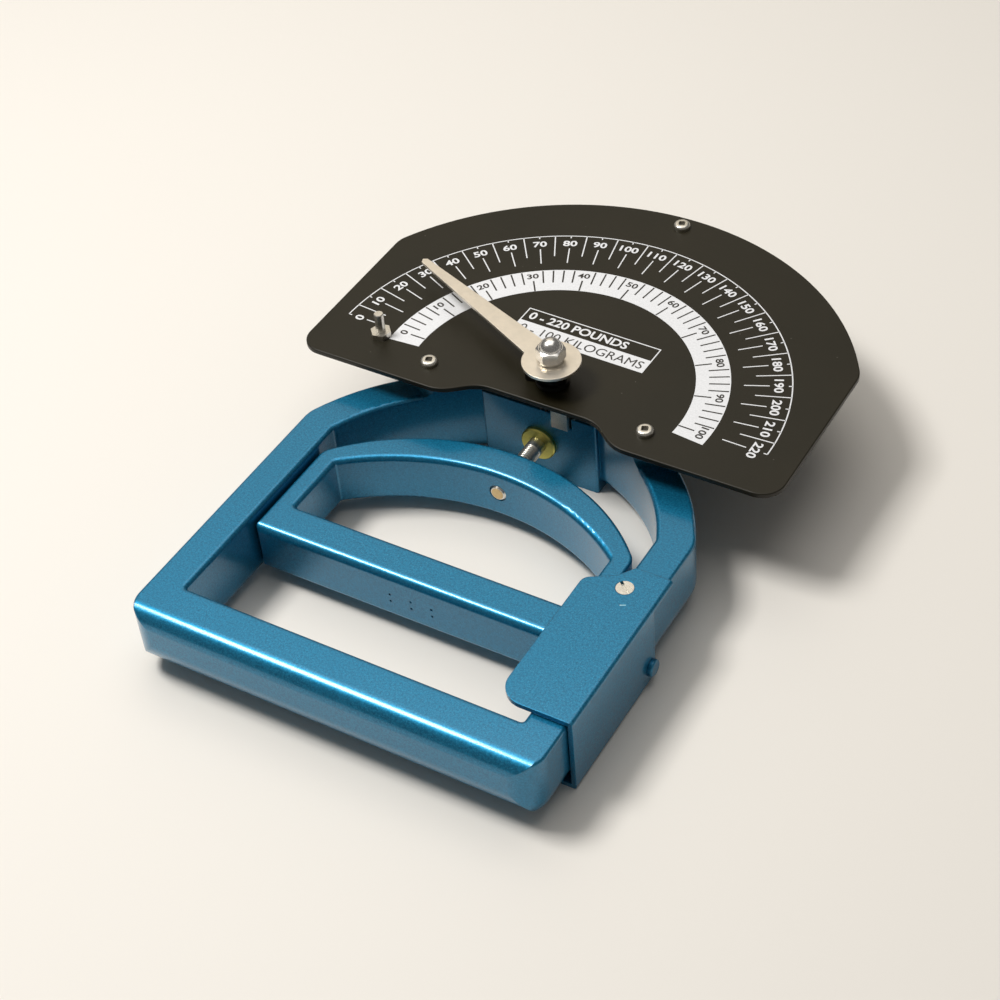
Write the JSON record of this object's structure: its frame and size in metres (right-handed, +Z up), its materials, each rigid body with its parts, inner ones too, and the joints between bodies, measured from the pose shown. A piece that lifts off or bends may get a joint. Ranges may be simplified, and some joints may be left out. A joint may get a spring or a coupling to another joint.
{
  "type": "hand dynamometer",
  "caption": "Spring hand dynamometer: cast palm frame, sliding D-shaped finger stirrup, swinging guide clip, and a half-round dial with a friction pointer.",
  "frame": {"origin": "middle of the instrument's outline, on the surface it lies on", "axes": "+X across the grip, +Y from the palm handle towards the top of the dial, +Z up out of the dial"},
  "size_m": [0.1448, 0.1954, 0.0457],
  "materials": {
    "hammered_paint": "semi-gloss metallic blue paint with a fine mottle",
    "dial_black": "satin brown-black with white print",
    "zinc_steel": "bright zinc plate",
    "bright_plate": "bright nickel",
    "nickel_pointer": "satin nickel",
    "brass_bush": "yellow passivated brass",
    "black_steel": "black oxide",
    "spring_steel": "oiled spring steel"
  },
  "bodies": {
    "root": {"frame_casting": "hammered_paint", "guide_bush": "brass_bush", "end_cap": "zinc_steel", "retaining_ring": "spring_steel", "dial_plate": "dial_black", "dial_spacer": "zinc_steel", "dial_screws": "zinc_steel", "zero_stop_post": "zinc_steel", "zero_stop_nuts": "zinc_steel", "centre_stud": "zinc_steel", "friction_washer": "zinc_steel", "acorn_nut": "bright_plate", "clip_pivot_screws": "zinc_steel"},
    "draw_unit": {"draw_rod": "zinc_steel", "main_spring": "spring_steel", "spring_retainer": "zinc_steel", "rod_nuts": "zinc_steel", "rack": "zinc_steel", "rack_screws": "zinc_steel"},
    "stirrup_body": {"stirrup": "hammered_paint"},
    "pinion_body": {"pinion": "black_steel", "driver": "black_steel"},
    "pointer_body": {"pointer": "nickel_pointer", "pointer_bush": "black_steel"},
    "clip_body": {"guide_clip": "hammered_paint", "clip_knob": "hammered_paint"}
  },
  "joints": [
    {"name": "grip_stroke", "type": "slide", "parent": "root", "child": "draw_unit", "axis": [0, -1, 0], "range_m": [0, 0.01413], "stiffness_N_per_m": 68000, "deforming": ["main_spring"]},
    {"name": "grip_adjust", "type": "slide", "parent": "draw_unit", "child": "stirrup_body", "axis": [0, 1, 0], "range_m": [-0.004, 0.0072]},
    {"name": "pinion_turn", "type": "hinge", "parent": "root", "child": "pinion_body", "pos_m": [0, 0.0162, 0.026], "axis": [0, 0, 1], "range_deg": [-180, 0]},
    {"name": "pointer_turn", "type": "hinge", "parent": "root", "child": "pointer_body", "pos_m": [0, 0.0162, 0.038], "axis": [0, 0, 1], "range_deg": [-158, 21.8]},
    {"name": "clip_swing", "type": "hinge", "parent": "root", "child": "clip_body", "pos_m": [0.0495, -0.0371, 0.012], "axis": [0, 0, 1], "range_deg": [0, 40]}
  ],
  "couplings": [
    {"joint": "pinion_turn", "follows": "grip_stroke", "rad_per_m": -222.22}
  ]
}
